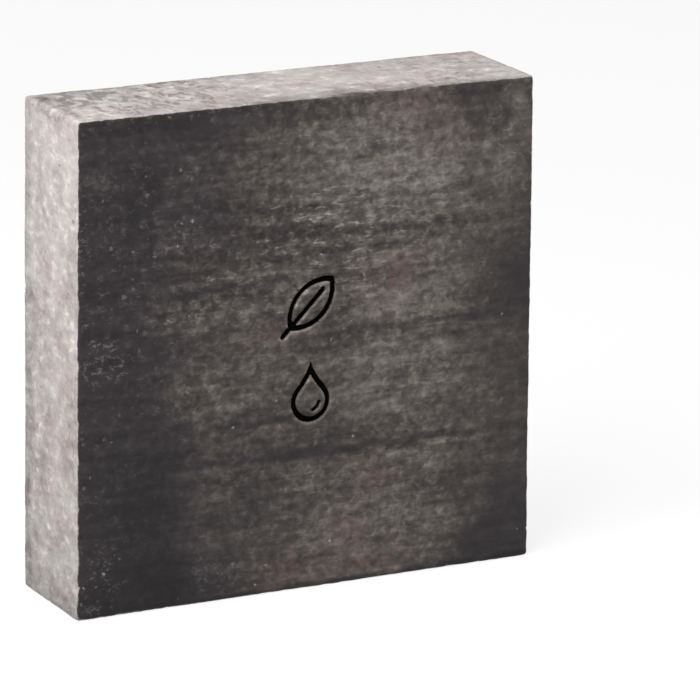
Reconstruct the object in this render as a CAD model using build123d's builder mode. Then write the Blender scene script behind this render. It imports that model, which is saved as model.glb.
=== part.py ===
from build123d import *
import os
from math import cos, radians, sin

# Charcoal block: a square bar cut from one slab, standing on a narrow face.
# Two small figures, a leaf above a drop, are pressed into the middle of its
# front face, and dry black colour lies in their grooves.
#
# Millimetres. X is the width, Y runs from the front face to the back face, and
# Z is up. The origin is the middle of the face that the block stands on.

# The block
block_width = 72.0
block_height = 72.0
block_thickness = 18.4
edge_radius = 0.5  # the cut edges are eased by hand

# The stamp, placed from the middle of the front face
figure_pitch = 12.9  # from the leaf's middle down to the drop's middle
stamp_shift_x = 0.4  # it is pressed by hand, so it sits a little off centre
stamp_shift_z = -0.35
stroke_width = 0.85
stroke_depth = 1.0
fill_sink = 0.35  # the colour's surface lies this far below the face

# The leaf
leaf_tilt = 45.0  # degrees, from upright towards the right
leaf_length = 10.2  # from tip to tip
leaf_half_width = 2.9
stem_length = 1.6  # outside the leaf's lower tip
midrib_gap = 2.1  # from the midrib's end to the upper tip

# The drop
drop_height = 9.0
drop_radius = 3.1
bowl_rise = 42.0  # degrees that the round bowl climbs above its middle
glint_radius = 1.35  # the short curved stroke inside the drop
glint_width = 0.6
glint_start = -12.0  # degrees, from straight right
glint_turn = 62.0  # degrees of arc, clockwise

front_y = -block_thickness / 2
stamp_x = stamp_shift_x
stamp_z = block_height / 2 + stamp_shift_z


def face_plane(x, z, tilt=0.0):
    """The front face's plane with its origin at x, z, turned clockwise by tilt."""
    across = (cos(radians(tilt)), 0, -sin(radians(tilt)))
    return Plane(origin=(x, front_y, z), x_dir=across, z_dir=(0, -1, 0))


leaf_plane = face_plane(stamp_x, stamp_z + figure_pitch / 2, leaf_tilt)
drop_plane = face_plane(stamp_x, stamp_z - figure_pitch / 2)

# The leaf's strokes: two arcs that meet in tips, and a midrib that runs out
# through the lower tip as a short stem.
upper_tip = (0, leaf_length / 2)
lower_tip = (0, -leaf_length / 2)
rib_low = -leaf_length / 2 - stem_length
rib_high = leaf_length / 2 - midrib_gap
with BuildSketch(leaf_plane) as leaf:
    with BuildLine():
        ThreePointArc(lower_tip, (-leaf_half_width, 0), upper_tip)
        ThreePointArc(upper_tip, (leaf_half_width, 0), lower_tip)
    make_face()
    offset(amount=-stroke_width, mode=Mode.SUBTRACT)
    with Locations((0, (rib_low + rib_high) / 2)):
        SlotOverall(rib_high - rib_low, stroke_width, rotation=90)

# The drop's strokes: a round bowl whose sides sweep up into a point, and a
# short curved glint inside it.
bowl_centre = (0, drop_radius - drop_height / 2)
point = (0, drop_height / 2)
glint = CenterArc(bowl_centre, glint_radius, glint_start, -glint_turn)
with BuildSketch(drop_plane) as drop:
    with BuildLine():
        bowl = CenterArc(bowl_centre, drop_radius, bowl_rise, -180 - 2 * bowl_rise)
        TangentArc(bowl @ 1, point, tangent=bowl % 1)
        TangentArc(bowl @ 0, point, tangent=-(bowl % 0))
    make_face()
    offset(amount=-stroke_width, mode=Mode.SUBTRACT)
    SlotArc(glint, glint_width)

# The block: the bar with its eased edges and the pressed grooves.
with BuildPart() as block:
    Box(
        block_width,
        block_thickness,
        block_height,
        align=(Align.CENTER, Align.CENTER, Align.MIN),
    )
    fillet(block.edges(), radius=edge_radius)
    extrude(leaf.sketch, amount=-stroke_depth, mode=Mode.SUBTRACT)
    extrude(drop.sketch, amount=-stroke_depth, mode=Mode.SUBTRACT)

# The dry colour: it fills each figure's grooves to a little below the face.
fill_surface = face_plane(0, 0).offset(-fill_sink)
with BuildPart() as leaf_fill:
    extrude(leaf.sketch, amount=-stroke_depth)
    split(bisect_by=fill_surface, keep=Keep.BOTTOM)

with BuildPart() as drop_fill:
    extrude(drop.sketch, amount=-stroke_depth)
    split(bisect_by=fill_surface, keep=Keep.BOTTOM)

block.part.label = "block"
leaf_fill.part.label = "upper_mark_fill"
drop_fill.part.label = "lower_mark_fill"

os.makedirs("parts", exist_ok=True)
for piece in (block.part, leaf_fill.part, drop_fill.part):
    export_step(piece, f"parts/{piece.label}.step")
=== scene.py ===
import math
import bmesh
import bpy
import numpy as np
from mathutils import Matrix, Vector, noise
from mathutils.bvhtree import BVHTree


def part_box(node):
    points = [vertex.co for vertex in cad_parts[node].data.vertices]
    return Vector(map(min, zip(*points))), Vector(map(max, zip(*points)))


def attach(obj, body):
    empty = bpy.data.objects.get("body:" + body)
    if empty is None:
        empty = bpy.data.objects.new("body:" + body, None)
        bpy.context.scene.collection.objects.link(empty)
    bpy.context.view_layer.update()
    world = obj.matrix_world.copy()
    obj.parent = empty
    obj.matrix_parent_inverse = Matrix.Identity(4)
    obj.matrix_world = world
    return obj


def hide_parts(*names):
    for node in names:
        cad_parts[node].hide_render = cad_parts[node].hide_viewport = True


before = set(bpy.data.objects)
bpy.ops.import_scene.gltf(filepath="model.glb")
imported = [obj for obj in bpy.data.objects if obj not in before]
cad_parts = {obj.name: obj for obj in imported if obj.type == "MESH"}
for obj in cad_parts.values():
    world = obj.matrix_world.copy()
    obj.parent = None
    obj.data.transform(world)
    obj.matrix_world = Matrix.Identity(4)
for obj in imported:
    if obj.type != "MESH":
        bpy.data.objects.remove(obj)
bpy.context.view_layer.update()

MM = 0.001


# ---------------------------------------------------------------------------
# The bar. One solid block of charcoal paste, wire-cut square from a slab,
# dried, and eased along its edges by hand. Nothing is fixed to it: it stands
# on a narrow face.
# ---------------------------------------------------------------------------

edge_round = 0.5 * MM
bar_low, bar_high = (Vector(corner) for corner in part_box("block"))
bar_middle = (bar_low + bar_high) / 2
bar_size = bar_high - bar_low

# The wire wanders a little, so some corners stop short of the true corner.
# Left or right, front or back, bottom or top: how far short, in mm.
corner_trims = {
    (-1, -1, 1): (0.42, 0.0, 0.15),
    (-1, -1, -1): (0.0, 0.05, 0.0),
    (1, -1, 1): (0.35, 0.05, 0.25),
    (-1, 1, 1): (0.4, 0.05, 0.2),
    (1, 1, 1): (0.55, 0.0, 0.2),
}


def start_piece(name):
    """Names the piece that was just added, with nothing else selected."""
    piece = bpy.context.object
    piece.name = name
    piece.data.name = name
    return piece


def apply_modifier(piece, kind, **settings):
    """Adds one modifier, sets it and applies it."""
    bpy.context.view_layer.objects.active = piece
    made = piece.modifiers.new(kind.lower(), kind)
    for name, value in settings.items():
        setattr(made, name, value)
    bpy.ops.object.modifier_apply(modifier=made.name)


bpy.ops.object.select_all(action="DESELECT")
bpy.ops.mesh.primitive_cube_add(size=1, location=bar_middle, scale=bar_size)
bar = start_piece("charcoal_bar")
bpy.ops.object.transform_apply(location=True, rotation=True, scale=True)

bpy.ops.object.mode_set(mode="EDIT")
for side, trim in corner_trims.items():
    bpy.ops.mesh.select_all(action="DESELECT")
    shape = bmesh.from_edit_mesh(bar.data)
    for corner in shape.verts:
        away = corner.co - bar_middle
        corner.select = all(a * s > 0 for a, s in zip(away, side))
    shape.select_flush(True)
    bmesh.update_edit_mesh(bar.data)
    inward = [-s * t * MM for s, t in zip(side, trim)]
    bpy.ops.transform.translate(value=inward)
bpy.ops.mesh.select_all(action="SELECT")
bpy.ops.mesh.bevel(offset=edge_round, segments=3, affect="EDGES")
bpy.ops.object.mode_set(mode="OBJECT")
bar_voxel = 0.27 * MM
apply_modifier(bar, "REMESH", mode="VOXEL", voxel_size=bar_voxel)

# The grooves are pressed in with a stamp, and their outlines stay crisp. The
# colour that fills them gives their shape.
figures = ("upper_mark_fill", "lower_mark_fill")
clear_of_face = 2 * MM


def copy_of(node, name):
    """A joined-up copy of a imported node, as a new object."""
    copy = bpy.data.objects.new(name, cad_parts[node].data.copy())
    bpy.context.collection.objects.link(copy)
    bpy.ops.object.select_all(action="DESELECT")
    bpy.context.view_layer.objects.active = copy
    copy.select_set(True)
    bpy.ops.object.mode_set(mode="EDIT")
    bpy.ops.mesh.select_all(action="SELECT")
    bpy.ops.mesh.remove_doubles(threshold=0.002 * MM)
    bpy.ops.object.mode_set(mode="OBJECT")
    return copy


def select_front(piece, level):
    """In edit mode, selects the faces that look forward and lie at this level."""
    bpy.ops.mesh.select_all(action="DESELECT")
    shape = bmesh.from_edit_mesh(piece.data)
    for face in shape.faces:
        near = abs(face.calc_center_median().y - level) < 0.02 * MM
        if near and face.normal.y < -0.9:
            face.select = True
    shape.select_flush(True)
    bmesh.update_edit_mesh(piece.data)


for node in figures:
    stamp = copy_of(node, "stamp_" + node)
    bpy.ops.object.mode_set(mode="EDIT")
    select_front(stamp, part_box(node)[0][1])
    bpy.ops.transform.translate(value=(0, -clear_of_face, 0))
    bpy.ops.object.mode_set(mode="OBJECT")
    apply_modifier(bar, "BOOLEAN", operation="DIFFERENCE", object=stamp, solver="EXACT")
    bpy.data.objects.remove(stamp)


def weigh(piece, name, weights):
    """Writes one weight per point into a vertex group."""
    group = piece.vertex_groups.get(name) or piece.vertex_groups.new(name=name)
    steps = np.round(weights * 20).astype(int)
    for step in range(1, 21):
        points = np.nonzero(steps == step)[0]
        if len(points):
            group.add(points.tolist(), step / 20, "REPLACE")


def points_of(piece):
    """Every point of the piece, in millimetres."""
    flat = np.empty(len(piece.data.vertices) * 3)
    piece.data.vertices.foreach_get("co", flat)
    return flat.reshape(-1, 3) / MM


def eased(value, start, end):
    """0 at start, 1 at end, with a smooth step between."""
    share = np.clip((value - start) / (end - start), 0, 1)
    return share * share * (3 - 2 * share)


# How far in from an edge its wear reaches, in mm.
rim_width = 1.4
half = np.array(bar_size) / 2 / MM
spots = points_of(bar)
from_middle = np.abs(spots - np.array(bar_middle) / MM)
depth = np.sort(half - from_middle, axis=1)
edge_distance = np.hypot(depth[:, 0], depth[:, 1])
broad = eased(from_middle[:, 1], half[1] - 1.0, half[1] - 0.4)
weigh(bar, "near_edge", 1 - eased(edge_distance, 0.3, rim_width))
weigh(bar, "broad_face", broad * eased(edge_distance, 0.4, 1.5))
weigh(bar, "narrow_face", (1 - broad) * eased(edge_distance, 0.4, 1.5))


# Both figures and their lips lie well within this area round the front's middle, in mm.
stamp_half_width = 9.0
stamp_half_height = 16.0


def beside_grooves(places):
    """How far each of these places in the front face lies from the nearest groove, in
    mm, and how much the groove lies above it, from -1 to 1."""
    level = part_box("upper_mark_fill")[0][1]
    trees = []
    for node in figures:
        stamp = copy_of(node, "outline")
        shape = bmesh.new()
        shape.from_mesh(stamp.data)
        trees.append(BVHTree.FromBMesh(shape))
        shape.free()
        bpy.data.objects.remove(stamp)
    far = np.full(len(places), stamp_half_width)
    above = np.zeros(len(places))
    close = np.abs(places[:, 0]) < stamp_half_width
    close &= np.abs(places[:, 2] - half[2]) < stamp_half_height
    close &= places[:, 1] < level / MM
    for spot in np.nonzero(close)[0]:
        flat = Vector((places[spot, 0] * MM, level, places[spot, 2] * MM))
        groove, gap = min((tree.find_nearest(flat)[::3] for tree in trees), key=lambda f: f[1])
        far[spot] = gap / MM
        above[spot] = (groove.z - flat.z) / max(gap, 0.01 * MM)
    return far, above


# The stamp pushes up a low lip beside each groove.
lip_height = 0.05 * MM
lip_start, lip_end = 0.15, 0.55
far, above = beside_grooves(spots)
weigh(bar, "pressed_lip", 1 - eased(far, lip_start, lip_end))
apply_modifier(
    bar, "DISPLACE", strength=lip_height, mid_level=0.0, vertex_group="pressed_lip"
)


def worn(piece, name, size, depth, group="", stretch=None, lowest=0.3, highest=0.7):
    """Sinks the surface in a cloudy pattern: by depth at lowest, not at all at highest."""
    pattern = bpy.data.textures.new(name, "CLOUDS")
    pattern.noise_scale = size * MM
    pattern.noise_depth = 3
    pattern.noise_basis = "IMPROVED_PERLIN"
    pattern.use_color_ramp = True
    for stop, level, height in zip(pattern.color_ramp.elements, (lowest, highest), (0, 1)):
        stop.position = level
        stop.color = (height, height, height, 1)
    settings = {"texture": pattern, "strength": depth * MM, "mid_level": 1.0}
    settings["vertex_group"] = group
    settings["texture_coords"] = "LOCAL"
    guide = None
    if stretch:
        guide = bpy.data.objects.new(name, None)
        guide.scale = stretch
        bpy.context.collection.objects.link(guide)
        bpy.context.view_layer.update()
        settings["texture_coords"] = "OBJECT"
        settings["texture_coords_object"] = guide
    apply_modifier(piece, "DISPLACE", **settings)
    if guide:
        bpy.data.objects.remove(guide)


worn(bar, "slow waves", size=14, depth=0.07)
worn(bar, "wire drag", size=0.9, depth=0.06, group="broad_face", stretch=(14, 1, 1))
worn(bar, "face grain", size=0.8, depth=0.06, group="broad_face")
worn(bar, "cut grain", size=1.4, depth=0.07, group="narrow_face", stretch=(1, 1.6, 1.6))
worn(bar, "edge wear", size=1.6, depth=0.08, group="near_edge")
worn(bar, "edge nicks", size=1.3, depth=0.30, group="near_edge", lowest=0.2, highest=0.36)

# Thinned, in triangles, so that no flap is left at the rims of the grooves.
apply_modifier(bar, "DECIMATE", ratio=0.43, use_collapse_triangulate=True)

# Nothing stands proud of the block as it was cut.
inside = np.clip(points_of(bar), np.array(bar_low) / MM, np.array(bar_high) / MM) * MM
bar.data.vertices.foreach_set("co", inside.ravel())
bar.data.update()

bpy.ops.object.select_all(action="DESELECT")
bar.select_set(True)
bpy.context.view_layer.objects.active = bar
smooth_angle = math.radians(50)
bpy.ops.object.shade_smooth_by_angle(angle=smooth_angle)


# The bloom is laid on as a tone at each point of the skin, from listed patches.

# Where the bloom lies, in mm from the middle of the foot: x, z, half width,
# half height, softness and strength. Less than 0 is wiped away again. The front
# also grows paler towards the right, partly as painted sheen, and its last line
# is painted shade along the foot.
front_wipes_and_painted_light = [
    (4, 17, 24, 21, 0.16, 0.31),  # the lower half
    (4, 46, 30, 8.5, 0.25, 0.28),  # a band across the middle
    (9, 64, 24, 10.0, 0.35, 0.28),  # the upper half
    (-21, 62, 7, 10, 0.5, 0.06),
    (-20, 62.5, 3, 3.5, 0.8, 0.14),
    (-21, 55.5, 2, 2.5, 0.8, 0.14),
    (-33, 62.5, 1, 2, 0.8, 0.18),
    (-25.4, 62, 1.6, 5.5, 0.7, -0.14),
    (-34, 65, 5, 4, 0.6, 0.10),
    (-16, 71, 20, 2.0, 0.6, -0.12),
    (15, 62, 13, 10, 0.6, 0.38),  # the thick cloud, upper right
    (16, 58, 8, 7, 0.8, 0.12),
    (14, 66, 3, 3, 0.6, 0.16),
    (34.2, 68, 2, 5, 0.6, 0.24),
    (-4, 62, 8, 9, 0.6, 0.14),
    (-19, 35, 6, 8, 0.6, 0.14),
    (-6, 36, 9, 12, 0.6, 0.14),
    (-18, 34, 3, 3, 0.7, 0.10),
    (-6, 34, 3, 3, 0.7, 0.10),
    (-1, 46, 3.5, 2.2, 0.7, 0.14),
    (17, 43.5, 10, 6, 0.5, 0.34),
    (17, 43.5, 4, 4, 0.6, 0.10),
    (15, 30, 11, 8, 0.5, 0.34),
    (14, 11, 14, 9, 0.5, 0.28),
    (8, 10.5, 6, 3, 0.6, 0.10),
    (16, 6, 5, 2.5, 0.7, -0.08),
    (8, 2.5, 22, 2, 0.6, 0.10),
    (-10, 9, 9, 8, 0.7, -0.06),
    (33, 62, 5, 13, 0.6, 0.37),  # a thinner strip down the right
    (32, 24, 5, 13, 0.6, 0.34),
    (28, 36, 8, 4, 0.7, 0.10),
    (-13, 45.8, 12, 0.5, 0.6, -0.30),  # the dark lines of the wire
    (16, 37.4, 13, 0.6, 0.8, -0.30),
    (-7, 25.6, 8, 0.5, 0.6, -0.30),
    (4, 20.3, 24, 0.55, 0.6, -0.32),
    (2, 51.6, 24, 0.5, 0.8, -0.16),
    (28.2, 68, 5, 4.2, 0.6, -0.30),  # wiped bare again
    (30, 44, 5, 5, 0.6, -0.08),
    (-26, 1.5, 12, 2, 0.6, -0.10),
    (-26, 10, 6, 12, 0.6, -0.12),
    (27, 11, 4, 7, 0.7, -0.16),
    (25, 3, 4, 3, 0.7, -0.14),
    (-20, 3, 8, 4, 0.7, -0.16),
    (0, 0, 60, 0.7, 0.5, -0.55),  # painted shade along the foot, where the bottom edge turns from the light
]
dragged_bands = [
    (-7, 49, 20, 8, 0.4, 0.9),
    (3, 36, 26, 34, 0.3, 0.35),
    (12, 54, 18, 5, 0.5, 0.3),
    (33, 36, 8, 36, 0.5, -1.2),
]
back_wipes = [
    (-3, 40, 27, 36, 0.3, 0.34),
    (-12, 23, 15, 11, 0.6, 0.34),
    (-4, 33, 24, 7, 0.6, 0.14),
    (14, 55, 14, 7, 0.6, 0.26),
    (-18, 58, 9, 7, 0.7, 0.16),
    (30, 38, 5, 24, 0.6, 0.16),
    (-31, 52, 4, 10, 0.6, 0.14),
    (0, 60.5, 25, 0.5, 0.6, -0.34),
    (8, 44.2, 18, 0.5, 0.6, -0.32),
    (-9, 31.5, 12, 0.5, 0.6, -0.30),
    (3, 12.5, 20, 0.5, 0.6, -0.26),
    (22, 16, 9, 9, 0.7, -0.26),
    (-26, 8, 7, 6, 0.7, -0.20),
]
rust_spots = [
    (14, 44.5, 3.5, 3, 0.8, 0.8),
    (20, 66, 3, 2.5, 0.8, 0.5),
    (16, 70, 4, 1.5, 0.8, 0.5),
    (-7, 38.5, 1.5, 1, 0.8, 0.6),
    (11, 16, 2.5, 1.8, 0.8, 0.5),
    (8, 7, 2, 1.5, 0.8, 0.4),
    (-2, 3, 4, 2.5, 0.8, 0.6),
    (11, 3, 6, 2, 0.8, 0.6),
    (6, 9, 3, 2, 0.8, 0.5),
]

# Where the top is veined: x, y and the rest as above.
top_veins = [
    (-23, 2, 15, 10, 0.4, 1.2),
    (28, 1, 10, 9, 0.5, 0.6),
    (12, -7, 14, 3, 0.5, 0.6),
]
# Where the cut faces are paler or darker. The two sides: y, z. The top: x, y.
side_tones = [
    # Painted light and shade: the sides lighter towards the top and darker towards the foot, as
    # the light falls from above.
    (0, 72, 12, 26, 0.6, 0.10),
    (0, 0, 12, 22, 0.8, -0.16),
    (9, 36, 2.4, 40, 0.6, -0.27),
    (7, 54, 3, 15, 0.7, -0.07),
    (-8, 52, 2.2, 12, 0.6, -0.11),
    (-2.5, 28, 3, 16, 0.7, 0.08),
    (-2.5, 67, 3, 3, 0.6, 0.08),
    # Painted shade along the foot of the sides, and a painted highlight along their top edge.
    (0, 1, 12, 2.5, 0.6, -0.20),
    (0, 71.8, 12, 0.7, 0.6, 0.24),
    (-7.5, 61, 2.5, 5, 0.7, 0.16),
    (-8.5, 38.5, 1.6, 3, 0.7, 0.22),
    (-4, 30, 9, 9, 0.7, -0.06),
]
top_tones = [
    (1, 0, 9, 8, 0.5, 0.10),
    (24, 0, 14, 8, 0.5, 0.10),
    (-24, -3, 12, 6, 0.6, 0.07),
    (0, 9, 40, 2, 0.6, -0.12),
    (14, -9.2, 21, 0.7, 0.7, -0.42),
    (0, -8, 13, 1.9, 0.8, -0.22),
    (-31, -6, 6, 3, 0.8, 0.08),
    (-19, -8, 2, 1.5, 0.8, -0.14),
    (19, -3, 5, 3, 0.8, 0.10),
    (30, 3, 2.5, 3, 0.8, -0.12),
    (23, -6, 2, 1.6, 0.8, -0.14),
    (-34.2, 1, 0.6, 8, 0.7, -0.34),  # scraped beside the left edge
    (-30, 4, 7, 5, 0.7, -0.08),
]
# Where ash crumbs lie on the front, thick by its edges and thin on its bare left: x, z.
spills = [
    (-32.5, 36.5, 4.5, 2.2, 0.6, 1.2),
    (-34, 40, 2, 3, 0.6, 1.2),
    (-33, 5, 3.5, 4.5, 0.6, 0.8),
    (-35, 52, 1.5, 8, 0.6, 0.7),
    (-34.5, 22, 1.5, 12, 0.6, 0.3),
    (-24, 31, 5, 2, 0.8, 0.4),
    (-30, 50, 6, 15, 0.7, 0.35),
    (-21, 58, 6, 9, 0.8, 0.25),
    (-21, 38, 4, 10, 0.8, 0.25),
    (-30, 15, 6, 10, 0.8, 0.15),
    (-5, 71.2, 32, 1.0, 0.6, 0.4),
    (31, 62, 3, 4, 0.8, 0.5),
    (-14, 4, 4, 2, 0.8, 0.6),
]


def laid(across, up, patches):
    """The tone that these soft oblong patches add up to, at each point."""
    total = np.zeros(len(across))
    for x, z, wide, high, edge, strength in patches:
        reach = (((across - x) / wide) ** 4 + ((up - z) / high) ** 4) ** 0.25
        total += strength * (1 - eased(reach, 1 - edge, 1 + edge))
    return total


def paint(piece, name, tones):
    """Keeps one tone per point on the piece, for its material to read."""
    kept = piece.data.attributes.new(name, "FLOAT", "POINT")
    kept.data.foreach_set("value", tones.astype(np.float32))


# Every patch drifts a little, so that none keeps a clean outline. The seed makes the
# drift the same each time.
drift_seed = 7
spots = points_of(bar)
noise.seed_set(drift_seed)
drift = np.array([noise.turbulence_vector(spot / 5, 4, False) for spot in spots])
across = spots[:, 0] + drift[:, 0] * 3.2
along = spots[:, 1] + drift[:, 1] * 2.0
up = spots[:, 2] + drift[:, 2] * 0.6
is_front = spots[:, 1] < 0
bloom_and_painted_light = np.where(is_front, laid(across, up, front_wipes_and_painted_light), laid(across, up, back_wipes))
back_drag = 0.45
dragged = np.where(is_front, laid(across, up, dragged_bands), back_drag)
rust = np.where(is_front, laid(across, up, rust_spots), 0)
spilled = np.where(is_front, laid(across, up, spills), 0)
on_top = spots[:, 2] > bar_size.z / MM - 1.5
side_vein = 0.25
veined = np.where(on_top, laid(across, along, top_veins), side_vein)
top_across = spots[:, 0] + drift[:, 0]
top_along = spots[:, 1] + drift[:, 1] * 0.4
top_chalk = laid(top_across, top_along, top_tones)
chalk_and_painted_light = np.where(on_top, top_chalk, laid(along, up, side_tones))
far, above = beside_grooves(spots)
# Painted highlight: the rim just below each groove is lightened, as a groove's lower rim is lit
# from above.
lip_highlight = (1 - eased(far, lip_start, lip_end)) * eased(above, -0.3, 0.7)
paint(bar, "bloom_and_painted_light", bloom_and_painted_light)
paint(bar, "rust", rust)
paint(bar, "spill", spilled)
paint(bar, "veins", veined)
paint(bar, "chalk_and_painted_light", chalk_and_painted_light)
paint(bar, "dragged", dragged)
paint(bar, "lip_highlight", lip_highlight)


class Finish:
    """The nodes of one finish, added in the order that it is built up."""

    def __init__(self, tree):
        self.tree = tree

    def feed(self, socket, value):
        """Gives a socket a fixed value or another node's output."""
        if isinstance(value, bpy.types.NodeSocket):
            self.tree.links.new(value, socket)
        else:
            socket.default_value = value

    def add(self, kind, inputs=(), **settings):
        """Adds any node, with its inputs by name."""
        made = self.tree.nodes.new(kind)
        for name, value in settings.items():
            setattr(made, name, value)
        for name, value in dict(inputs).items():
            self.feed(made.inputs[name], value)
        return made

    def sum(self, operation, first, second=0.0, third=0.0, clamp=False):
        """One step of arithmetic."""
        made = self.add("ShaderNodeMath", operation=operation, use_clamp=clamp)
        for socket, value in zip(made.inputs, (first, second, third)):
            self.feed(socket, value)
        return made.outputs[0]

    def turn(self, operation, first, second):
        """One step of arithmetic on places."""
        made = self.add("ShaderNodeVectorMath", operation=operation)
        self.feed(made.inputs[0], first)
        self.feed(made.inputs[1], second)
        return made.outputs[0]

    def ease(self, value, start, end, low=0.0, high=1.0):
        """Low at start and high at end, with a smooth step between."""
        made = self.add("ShaderNodeMapRange", interpolation_type="SMOOTHSTEP")
        for socket, number in zip(made.inputs, (value, start, end, low, high)):
            self.feed(socket, number)
        return made.outputs[0]

    def coat(self, share, under, over, how="MIX"):
        """Lays one colour over another, as far as share says."""
        made = self.add("ShaderNodeMix", data_type="RGBA", blend_type=how)
        self.feed(made.inputs[0], share)
        self.feed(made.inputs[6], under)
        self.feed(made.inputs[7], over)
        return made.outputs[2]

    def blend(self, share, under, over):
        """Goes from one number to another, as far as share says."""
        made = self.add("ShaderNodeMix", {"Factor": share}, data_type="FLOAT")
        self.feed(made.inputs[2], under)
        self.feed(made.inputs[3], over)
        return made.outputs[0]

    def cloud(self, place, size, stretch=None, detail=3.0, rough=0.5, twist=0.0):
        """Cloudy noise around 0.5, with lumps of size mm, drawn out by stretch."""
        if stretch:
            place = self.turn("DIVIDE", place, stretch)
        inputs = {"Vector": place, "Scale": 1 / size, "Detail": detail}
        inputs.update({"Roughness": rough, "Distortion": twist})
        return self.add("ShaderNodeTexNoise", inputs).outputs[0]

    def shaken(self, place, size, reach):
        """The same place, moved to and fro so that small outlines turn ragged."""
        inputs = {"Vector": place, "Scale": 1 / size, "Detail": 2.0, "Roughness": 0.5}
        shake = self.add("ShaderNodeTexNoise", inputs).outputs["Color"]
        shake = self.turn("SUBTRACT", shake, (0.5, 0.5, 0.5))
        return self.turn("ADD", place, self.turn("MULTIPLY", shake, reach))

    def painted(self, name):
        """A tone that was laid on the piece, one per point."""
        return self.add("ShaderNodeAttribute", attribute_name=name).outputs["Fac"]


def new_group(name, inputs, outputs):
    """A shader node group with named inputs and outputs. Returns its finish."""
    tree = bpy.data.node_groups.new(name, "ShaderNodeTree")
    kinds = {"colour": "Color", "place": "Vector", "number": "Float"}
    for label, kind, value in inputs:
        kind_name = "NodeSocket" + kinds[kind]
        made = tree.interface.new_socket(label, in_out="INPUT", socket_type=kind_name)
        made.default_value = value
    for label, kind in outputs:
        kind_name = "NodeSocket" + kinds[kind]
        tree.interface.new_socket(label, in_out="OUTPUT", socket_type=kind_name)
    finish = Finish(tree)
    finish.given = finish.add("NodeGroupInput").outputs
    finish.result = finish.add("NodeGroupOutput").inputs
    return finish


def use_group(finish, name, **inputs):
    """Places a group in a finish and returns its outputs."""
    made = finish.add("ShaderNodeGroup", node_tree=bpy.data.node_groups[name])
    for label, value in inputs.items():
        finish.feed(made.inputs[label], value)
    return made.outputs


def new_material(name):
    """An empty material, and the finish that fills it."""
    material = bpy.data.materials.new(name)
    material.use_nodes = True
    material.node_tree.nodes.clear()
    return material, Finish(material.node_tree)


def place_in_mm(finish):
    """The place on the piece, in millimetres."""
    where = finish.add("ShaderNodeTexCoord").outputs["Object"]
    scale = (1 / MM, 1 / MM, 1 / MM)
    return finish.add("ShaderNodeMapping", {"Vector": where, "Scale": scale}).outputs[0]


# Specks: crumbs of ash, one at most in each cell of a loose grid. Each reaches 0.5 to
# 1.3 times Size from its middle, and some are fainter than others.
specks = new_group(
    "specks",
    [("Place", "place", (0, 0, 0)), ("Spacing", "number", 2.0),
     ("Share", "number", 0.2), ("Size", "number", 0.25)],
    [("Cover", "number")],
)
scale = specks.sum("DIVIDE", 1.0, specks.given["Spacing"])
cells = specks.add(
    "ShaderNodeTexVoronoi", {"Vector": specks.given["Place"], "Scale": scale}
)
dice = specks.add("ShaderNodeSeparateColor", {"Color": cells.outputs["Color"]})
spread = specks.sum("MULTIPLY", cells.outputs["Distance"], specks.given["Spacing"])
reach = specks.sum("MULTIPLY_ADD", dice.outputs[1], 0.8, 0.5)
reach = specks.sum("MULTIPLY", reach, specks.given["Size"])
inside = specks.ease(spread, reach, specks.sum("MULTIPLY", reach, 0.45))
chosen = specks.sum("LESS_THAN", dice.outputs[0], specks.given["Share"])
bright = specks.sum("MULTIPLY_ADD", dice.outputs[2], 0.6, 0.4)
cover = specks.sum("MULTIPLY", specks.sum("MULTIPLY", inside, chosen), bright)
specks.feed(specks.result["Cover"], cover)

# The broad faces: dark charcoal, wiped and dragged sideways, with a thin
# brown-grey bloom of ash where the wiping stopped.
ash = (0.36, 0.335, 0.315, 1)
rust_red = (0.105, 0.060, 0.054, 1)
# From wiped bare to thick with ash.
film_tones = [
    (-0.45, (0.0088, 0.0070, 0.0074, 1)),
    (-0.15, (0.0154, 0.0123, 0.0130, 1)),
    (0.10, (0.0254, 0.0208, 0.0213, 1)),
    (0.35, (0.0428, 0.0365, 0.0343, 1)),
    (0.60, (0.0723, 0.0630, 0.0575, 1)),
    (0.85, (0.1170, 0.1035, 0.0950, 1)),
    (1.30, (0.2240, 0.2060, 0.1920, 1)),
]

face = new_group(
    "broad face",
    [("Place", "place", (0, 0, 0))],
    [("Colour", "colour"), ("Roughness", "number"), ("Height", "number")],
)
place = face.given["Place"]
# The bloom, with painted shade along the foot and, in part, painted sheen towards the right.
film = face.painted("bloom_and_painted_light")
# Painted highlight on the lower rims of the grooves.
film = face.sum("MULTIPLY_ADD", face.painted("lip_highlight"), 0.45, film)
# The film is uneven three ways: long drag lines, soft mottle and short grain.
drag = face.cloud(place, size=1.4, stretch=(8, 1, 1), rough=0.6)
drag = face.sum("SUBTRACT", drag, 0.5)
mottle = face.cloud(place, size=1.8, rough=0.62)
mottle = face.sum("SUBTRACT", mottle, 0.5)
grain = face.cloud(place, size=0.95, stretch=(1.25, 1, 1), detail=1.6, rough=0.55, twist=0.5)
grain_swing = face.sum("SUBTRACT", grain, 0.5)
uneven = face.sum("MULTIPLY_ADD", drag, 1.15, face.sum("MULTIPLY", mottle, 0.95))
uneven = face.sum("MULTIPLY_ADD", grain_swing, 1.05, uneven)
bed = face.ease(film, 0.0, 0.5, 0.55, 0.85)
bed = face.sum("MULTIPLY_ADD", face.painted("dragged"), 0.2, bed)
film = face.sum("MULTIPLY_ADD", uneven, bed, film)

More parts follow.
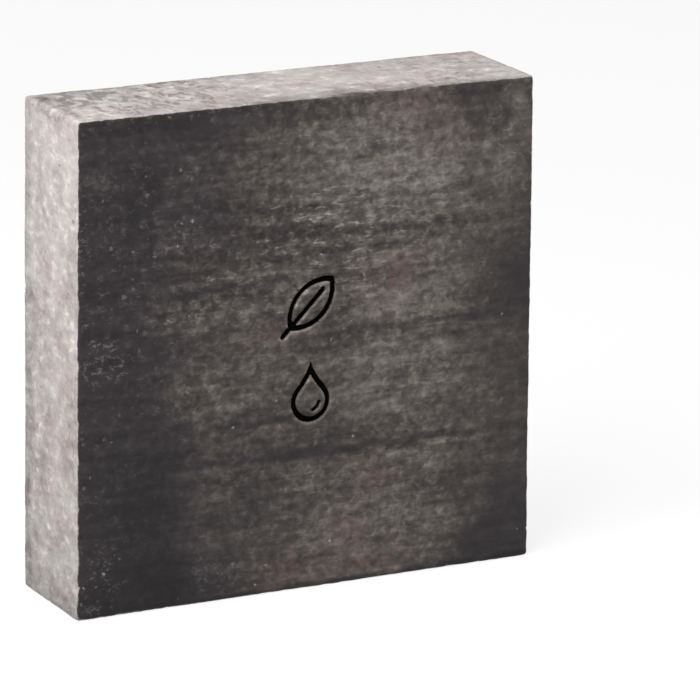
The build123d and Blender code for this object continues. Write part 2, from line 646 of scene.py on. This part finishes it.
low_tone = film_tones[0][0]
tone_span = film_tones[-1][0] - low_tone
shades = face.add("ShaderNodeValToRGB")
share = face.sum("DIVIDE", face.sum("SUBTRACT", film, low_tone), tone_span)
face.feed(shades.inputs["Fac"], share)
stops = shades.color_ramp.elements
while len(stops) < len(film_tones):
    stops.new(0.5)
for stop, (tone, shade) in zip(stops, film_tones):
    stop.position = (tone - low_tone) / tone_span
    stop.color = shade
colour = shades.outputs["Color"]
# Bare charcoal is a little cool, and the bloom over it a little olive.
warmth = face.ease(face.painted("bloom_and_painted_light"), 0.12, 0.34)
cast = face.coat(warmth, (0.985, 0.99, 1.05, 1), (1.0, 0.985, 0.96, 1))
colour = face.coat(1.0, colour, cast, "MULTIPLY")

# Ash dragged into short raised streaks.
streaks = face.cloud(place, size=0.6, stretch=(3, 1, 1), detail=2.0, rough=0.6, twist=0.8)
raised_flecks = face.ease(streaks, 0.52, 0.76)
fleck_bed = face.sum("MULTIPLY", face.ease(film, 0.1, 0.8), face.painted("dragged"))
flecks = face.sum("MULTIPLY", raised_flecks, fleck_bed)
colour = face.coat(face.sum("MULTIPLY", flecks, 0.42), colour, ash)

# Ash caught in short wandering scratches.
scratch = face.cloud(place, size=1.0, stretch=(1.8, 1, 1), detail=2.0, rough=0.6, twist=0.6)
scratch = face.sum("ABSOLUTE", face.sum("SUBTRACT", scratch, 0.5))
scratch = face.ease(scratch, 0.05, 0.0)
scratch = face.sum("MULTIPLY", scratch, face.ease(grain, 0.48, 0.66))
held = face.sum("MULTIPLY", face.painted("spill"), 1.5)
held = face.sum("MULTIPLY_ADD", face.ease(film, 0.1, 0.8), 0.7, held)
scratch = face.sum("MULTIPLY", scratch, held, clamp=True)
colour = face.coat(face.sum("MULTIPLY", scratch, 0.15), colour, ash)

# Rust-coloured stains, broken up by the mottle.
tint = face.sum("MULTIPLY", face.painted("rust"), face.ease(mottle, -0.15, 0.15))
colour = face.coat(face.sum("MULTIPLY", tint, 0.7), colour, rust_red)

# Loose dots of ash all over, and more and larger crumbs where it has spilled.
loose = face.shaken(place, size=0.45, reach=(1.1, 0, 1.1))
loose = face.turn("MULTIPLY", loose, (1, 0, 1))
often = face.sum("MULTIPLY_ADD", face.painted("spill"), 0.6, 0.22)
dots = use_group(face, "specks", Place=loose, Spacing=1.7, Share=often, Size=0.19)["Cover"]
crumbs = use_group(face, "specks", Place=loose, Spacing=1.1, Share=0.45, Size=0.27)["Cover"]
dots = face.sum("MAXIMUM", dots, face.sum("MULTIPLY", crumbs, face.painted("spill")))
colour = face.coat(face.sum("MULTIPLY", dots, 0.5), colour, ash)
face.feed(face.result["Colour"], colour)
rough = face.ease(film, 0.0, 0.9, 0.56, 0.82)
face.feed(face.result["Roughness"], rough)
height = face.sum("ADD", grain_swing, 0.5)
height = face.sum("MULTIPLY_ADD", drag, 0.6, height)
face.feed(face.result["Height"], height)

# The narrow faces: the cut skin dried pale, with darker veins and pits.
pale = (0.336, 0.296, 0.286, 1)
grey = (0.314, 0.293, 0.277, 1)
chalk = (0.56, 0.53, 0.51, 1)
vein = (0.155, 0.138, 0.130, 1)
skin = new_group(
    "cut face",
    [("Place", "place", (0, 0, 0))],
    [("Colour", "colour"), ("Roughness", "number"), ("Height", "number")],
)
place = skin.given["Place"]
broad_cloud = skin.cloud(place, size=5, rough=0.55)
mottle = skin.cloud(place, size=1.3, stretch=(1.8, 1.6, 1), detail=4.0, rough=0.62, twist=0.3)
grain = skin.cloud(place, size=0.5, detail=2.0, rough=0.6, twist=0.4)
veins = skin.cloud(place, size=1.5, stretch=(1.1, 1.9, 1.3), detail=4.0, rough=0.6, twist=0.8)
colour = skin.coat(skin.ease(broad_cloud, 0.42, 0.58), pale, grey)
colour = skin.coat(skin.sum("MULTIPLY", skin.ease(mottle, 0.52, 0.78), 0.45), colour, chalk)
vein_share = skin.sum("MULTIPLY", skin.ease(veins, 0.55, 0.38), skin.painted("veins"))
colour = skin.coat(skin.sum("MULTIPLY", vein_share, 0.75, clamp=True), colour, vein)
tone = skin.sum("MULTIPLY_ADD", skin.sum("SUBTRACT", grain, 0.5), 0.45, 1.0)
tone = skin.sum("MULTIPLY_ADD", skin.sum("SUBTRACT", mottle, 0.5), 0.95, tone)
tone = skin.sum("MULTIPLY_ADD", skin.sum("SUBTRACT", broad_cloud, 0.5), 1.05, tone)
# Chalk patches, with the painted light and shade of the sides: lighter up top, darker at the
# foot, a highlight along the top edge.
tone = skin.sum("ADD", skin.painted("chalk_and_painted_light"), tone)
shade = skin.add("ShaderNodeCombineColor", {"Red": tone, "Green": tone, "Blue": tone})
colour = skin.coat(1.0, colour, shade.outputs[0], "MULTIPLY")
# Chips of chalk, and pits that lie apart from them.
loose = skin.shaken(place, size=0.6, reach=(1.4, 1.4, 1.4))
chips = use_group(skin, "specks", Place=loose, Spacing=2.4, Share=0.14, Size=0.36)["Cover"]
colour = skin.coat(skin.sum("MULTIPLY", chips, 0.5), colour, chalk)
aside = skin.turn("ADD", loose, (31.0, 17.0, 5.0))
pits = use_group(skin, "specks", Place=aside, Spacing=2.4, Share=0.35, Size=0.4)["Cover"]
colour = skin.coat(skin.sum("MULTIPLY", pits, 0.75), colour, vein)
skin.feed(skin.result["Colour"], colour)
skin.feed(skin.result["Roughness"], skin.ease(mottle, 0.3, 0.7, 0.74, 0.9))
height = skin.sum("MULTIPLY_ADD", grain, 0.5, skin.sum("MULTIPLY", mottle, 0.9))
height = skin.sum("ADD", height, skin.sum("MULTIPLY", chips, 0.5))
height = skin.sum("SUBTRACT", height, skin.sum("MULTIPLY", pits, 0.8))
skin.feed(skin.result["Height"], height)

# The bar's own material: the two skins meet along the worn edges.
charcoal, body = new_material("charcoal")
in_mm = place_in_mm(body)
broad_look = use_group(body, "broad face", Place=in_mm)
cut_look = use_group(body, "cut face", Place=in_mm)
axes = body.add("ShaderNodeSeparateXYZ", {"Vector": in_mm})
from_face = body.sum("SUBTRACT", half[1], body.sum("ABSOLUTE", axes.outputs[1]))
sideways = body.sum("ABSOLUTE", axes.outputs[0])
upright = body.sum("ABSOLUTE", body.sum("SUBTRACT", axes.outputs[2], half[2]))
off_centre = body.sum("MAXIMUM", sideways, upright)
# The dark skin wraps round the edge for about this far, in mm, on a crumbling line.
skin_wrap = 0.25
skin_crumble = 0.3
skin_softness = 0.06
crumble = body.sum("SUBTRACT", body.cloud(in_mm, size=1.5, rough=0.55), 0.5)
line = body.sum("MULTIPLY_ADD", crumble, skin_crumble, skin_wrap)
past_line = body.sum("SUBTRACT", from_face, line)
narrow = body.ease(past_line, -skin_softness, skin_softness)
# Only the rim turns pale, and the walls of the grooves stay dark.
in_rim = body.sum("GREATER_THAN", off_centre, half[0] - rim_width)
narrow = body.sum("MULTIPLY", narrow, in_rim)
colour = body.coat(narrow, broad_look["Colour"], cut_look["Colour"])
rough = body.blend(narrow, broad_look["Roughness"], cut_look["Roughness"])
raised = body.blend(narrow, broad_look["Height"], cut_look["Height"])
relief = body.add("ShaderNodeBump", {"Height": raised, "Distance": 0.045 * MM, "Strength": 1.0})
shader = body.add(
    "ShaderNodeBsdfPrincipled",
    {
        "Base Color": colour,
        "Roughness": rough,
        "Normal": relief.outputs[0],
        "Specular IOR Level": 0.22,
    },
)
body.add("ShaderNodeOutputMaterial", {"Surface": shader.outputs[0]})

bar.data.materials.clear()
bar.data.materials.append(charcoal)
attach(bar, "root")
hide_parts("block")


# ---------------------------------------------------------------------------
# The colour in the stamp. A black pigment paste is wiped into the pressed
# figures and shrinks a little below the face as it dries; its near-total black is
# partly painted shade, for the shade deep in the narrow grooves. The leaf's colour
# is one run of paste. The drop's is its outline and a short curl inside it.
# ---------------------------------------------------------------------------

rim_left = 0.16 * MM
sunk = 0.07 * MM
paste_voxel = 0.07 * MM
# Partly painted shade: the deepest black stands for the shade in the narrow grooves.
black_and_groove_shade = (0.0004, 0.0004, 0.0004, 1)
dry_black = (0.0018, 0.0017, 0.0016, 1)

ink, paste = new_material("stamp_black")
in_mm = place_in_mm(paste)
lumps = paste.cloud(in_mm, size=0.35, rough=0.6)
black = paste.coat(paste.ease(lumps, 0.35, 0.75), black_and_groove_shade, dry_black)
dust = use_group(paste, "specks", Place=in_mm, Spacing=1.1, Share=0.25, Size=0.12)["Cover"]
black = paste.coat(paste.sum("MULTIPLY", dust, 0.03), black, ash)
pits = paste.add("ShaderNodeBump", {"Height": lumps, "Distance": 0.05 * MM, "Strength": 0.8})
shader = paste.add(
    "ShaderNodeBsdfPrincipled",
    {
        "Base Color": black,
        "Roughness": paste.ease(lumps, 0.3, 0.7, 0.7, 0.9),
        "Normal": pits.outputs[0],
        "Specular IOR Level": 0.02,
    },
)
paste.add("ShaderNodeOutputMaterial", {"Surface": shader.outputs[0]})

for node, name in (("upper_mark_fill", "leaf_colour"), ("lower_mark_fill", "drop_colour")):
    fill = copy_of(node, name)
    fill.data.name = name
    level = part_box(node)[0][1]
    bpy.ops.object.mode_set(mode="EDIT")
    select_front(fill, level)
    bpy.ops.mesh.inset(thickness=rim_left)
    bpy.ops.transform.translate(value=(0, sunk, 0))
    bpy.ops.object.mode_set(mode="OBJECT")
    apply_modifier(fill, "REMESH", mode="VOXEL", voxel_size=paste_voxel)
    worn(fill, name + " shrinkage", size=0.5, depth=0.05)
    bpy.ops.object.shade_smooth_by_angle(angle=smooth_angle)
    fill.data.materials.clear()
    fill.data.materials.append(ink)
    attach(fill, "root")
    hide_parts(node)


# ---------------------------------------------------------------------------
# The table and the lights. A pale table top runs out of sight, white all
# round, with one large soft light at the upper left.
# ---------------------------------------------------------------------------

bpy.ops.object.select_all(action="DESELECT")
bpy.ops.mesh.primitive_plane_add(size=6, location=(0, 0, 0))
table = start_piece("table")
table_paint, top = new_material("table_paint")
white = top.add(
    "ShaderNodeBsdfPrincipled",
    {"Base Color": (0.92, 0.92, 0.92, 1), "Roughness": 0.9, "Specular IOR Level": 0.1},
)
glow = top.add("ShaderNodeEmission", {"Color": (1, 1, 1, 1), "Strength": 1.0})
lit = top.add("ShaderNodeMixShader", {"Fac": 0.82})
top.feed(lit.inputs[1], white.outputs[0])
top.feed(lit.inputs[2], glow.outputs[0])
top.add("ShaderNodeOutputMaterial", {"Surface": lit.outputs[0]})
table.data.materials.append(table_paint)

world = bpy.data.worlds.new("white room")
bpy.context.scene.world = world
world.use_nodes = True
world.node_tree.nodes.clear()
room = Finish(world.node_tree)
seen = room.add("ShaderNodeLightPath").outputs["Is Camera Ray"]
strength = room.ease(seen, 0.0, 1.0, 0.55, 1.0)
sky = room.add("ShaderNodeBackground", {"Color": (1, 1, 1, 1), "Strength": strength})
room.add("ShaderNodeOutputWorld", {"Surface": sky.outputs[0]})


def outward(turn, lift):
    """The direction at this turn from the front and this lift from level."""
    level = math.cos(lift)
    return Vector((math.sin(turn) * level, -math.cos(turn) * level, math.sin(lift)))


def soft_light(name, azimuth, height, distance, size, power):
    """A square softbox that faces the bar."""
    lamp = bpy.data.lights.new(name, "AREA")
    lamp.shape = "SQUARE"
    lamp.size = size
    lamp.energy = power
    holder = bpy.data.objects.new(name, lamp)
    bpy.context.collection.objects.link(holder)
    out = outward(math.radians(azimuth), math.radians(height))
    holder.location = bar_middle + out * distance
    holder.rotation_euler = out.to_track_quat("Z", "Y").to_euler()


soft_light("key", azimuth=-61, height=47, distance=0.42, size=0.32, power=2.9)

# The camera stands well back, a little to the left and above. The bar sits left of
# the middle of its view, and a little high.
view_azimuth = math.radians(-27.22)
view_height = math.radians(15.62)
view_roll = math.radians(0.606)
aim_right_by = 9.98 * MM
aim_down_by = 2.86 * MM
view_distance = 0.7658

back = outward(view_azimuth, view_height)
level_x = Vector((0, 0, 1)).cross(back).normalized()
level_y = back.cross(level_x)
right = level_x * math.cos(view_roll) + level_y * math.sin(view_roll)
up = level_y * math.cos(view_roll) - level_x * math.sin(view_roll)
lens = bpy.data.cameras.new("camera")
lens.sensor_width = 36
lens.lens = 276.6
lens.clip_start = 0.05
camera = bpy.data.objects.new("camera", lens)
bpy.context.collection.objects.link(camera)
stand = bar_middle + right * aim_right_by - up * aim_down_by + back * view_distance
facing = Matrix((right, up, back)).transposed().to_4x4()
camera.matrix_world = Matrix.Translation(stand) @ facing
bpy.context.scene.camera = camera

bpy.context.scene.view_settings.view_transform = "Standard"
